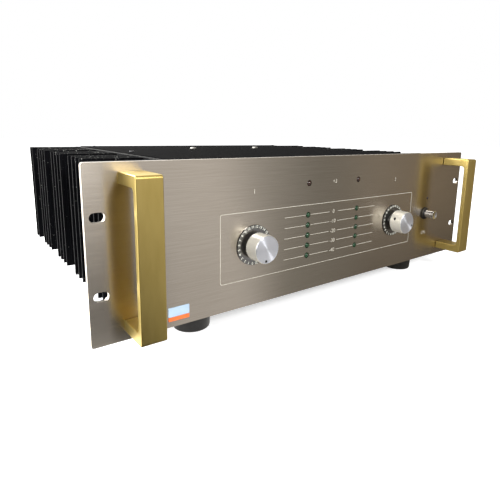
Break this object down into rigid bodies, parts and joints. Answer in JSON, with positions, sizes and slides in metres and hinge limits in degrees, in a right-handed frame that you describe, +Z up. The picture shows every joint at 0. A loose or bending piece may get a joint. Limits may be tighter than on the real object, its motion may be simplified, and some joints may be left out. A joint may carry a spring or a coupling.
{
  "type": "power amplifier",
  "caption": "Stereo rack power amplifier with front handles, level knobs, light columns, push switch and finned heatsinks along both sides.",
  "frame": {"origin": "centre of the bounding box in plan, on the surface that the feet stand on", "axes": "+X to the right of someone facing the front panel, +Y from the front panel to the back, +Z up"},
  "size_m": [0.4826, 0.3536, 0.148],
  "materials": {
    "panel_aluminium": "brushed",
    "gold_aluminium": "satin anodised",
    "bright_aluminium": "spun",
    "black_aluminium": "black anodised",
    "plated_steel": "zinc plated",
    "bright_steel": "polished",
    "painted_steel": "fine textured",
    "rubber": "smooth",
    "black_plastic": "moulded",
    "red_plastic": "moulded",
    "light_plastic": "clear tinted",
    "circuit_board": "lacquered",
    "wound_core": "taped",
    "capacitor_sleeve": "shrunk sleeve"
  },
  "bodies": {
    "chassis": {"front_panel": "panel_aluminium", "subpanel": "plated_steel", "handle_left": "gold_aluminium", "handle_right": "gold_aluminium", "handle_screw_left_lower": "plated_steel", "handle_screw_left_upper": "plated_steel", "handle_screw_right_lower": "plated_steel", "handle_screw_right_upper": "plated_steel", "chassis_tray": "painted_steel", "rear_panel": "painted_steel", "top_cover": "painted_steel", "cover_brace": "plated_steel", "cover_screw_left": "bright_steel", "cover_screw_right": "bright_steel", "top_rail_left": "plated_steel", "top_rail_right": "plated_steel", "heatsink_left_1": "black_aluminium", "heatsink_left_2": "black_aluminium", "heatsink_left_3": "black_aluminium", "heatsink_left_4": "black_aluminium", "heatsink_right_1": "black_aluminium", "heatsink_right_2": "black_aluminium", "heatsink_right_3": "black_aluminium", "heatsink_right_4": "black_aluminium", "foot_front_left": "rubber", "foot_front_right": "rubber", "foot_rear_left": "rubber", "foot_rear_right": "rubber", "scale_disc_left": "black_plastic", "scale_disc_right": "black_plastic", "attenuator_left": "plated_steel", "attenuator_right": "plated_steel", "attenuator_nut_left": "plated_steel", "attenuator_nut_right": "plated_steel", "meter_board_left": "circuit_board", "meter_board_right": "circuit_board", "power_led": "light_plastic", "power_switch": "black_plastic", "switch_nut": "black_aluminium", "transformer": "wound_core", "transformer_clamp": "plated_steel", "transformer_bolt": "plated_steel", "reservoir_capacitor_left": "capacitor_sleeve", "reservoir_capacitor_right": "capacitor_sleeve", "capacitor_collar": "black_plastic", "bridge_rectifier": "black_plastic", "driver_board_left": "circuit_board", "driver_board_right": "circuit_board", "mains_inlet": "black_plastic", "fuse_holder": "black_plastic", "input_socket_left": "plated_steel", "input_socket_right": "plated_steel", "output_terminals_left": "red_plastic", "output_terminals_right": "red_plastic"},
    "left_control": {"knob_left": "bright_aluminium", "attenuator_shaft_left": "plated_steel"},
    "right_control": {"knob_right": "bright_aluminium", "attenuator_shaft_right": "plated_steel"},
    "power_button": {"power_button": "bright_steel"},
    "fuse_cap": {"fuse_cap": "black_plastic"}
  },
  "joints": [
    {"name": "left_level_turn", "type": "hinge", "parent": "chassis", "child": "left_control", "pos_m": [-0.1, -0.1438, 0.0715], "axis": [0, 1, 0], "range_deg": [0, 345]},
    {"name": "right_level_turn", "type": "hinge", "parent": "chassis", "child": "right_control", "pos_m": [0.1, -0.1438, 0.0715], "axis": [0, 1, 0], "range_deg": [-285, 60]},
    {"name": "power_button_press", "type": "slide", "parent": "chassis", "child": "power_button", "axis": [0, 1, 0], "range_m": [0, 0.0035], "stiffness_N_per_m": 600, "springref_m": -0.001},
    {"name": "fuse_cap_turn", "type": "hinge", "parent": "chassis", "child": "fuse_cap", "pos_m": [0.10497, 0.1662, 0.1035], "axis": [0, 1, 0], "range_deg": [0, 45]}
  ]
}
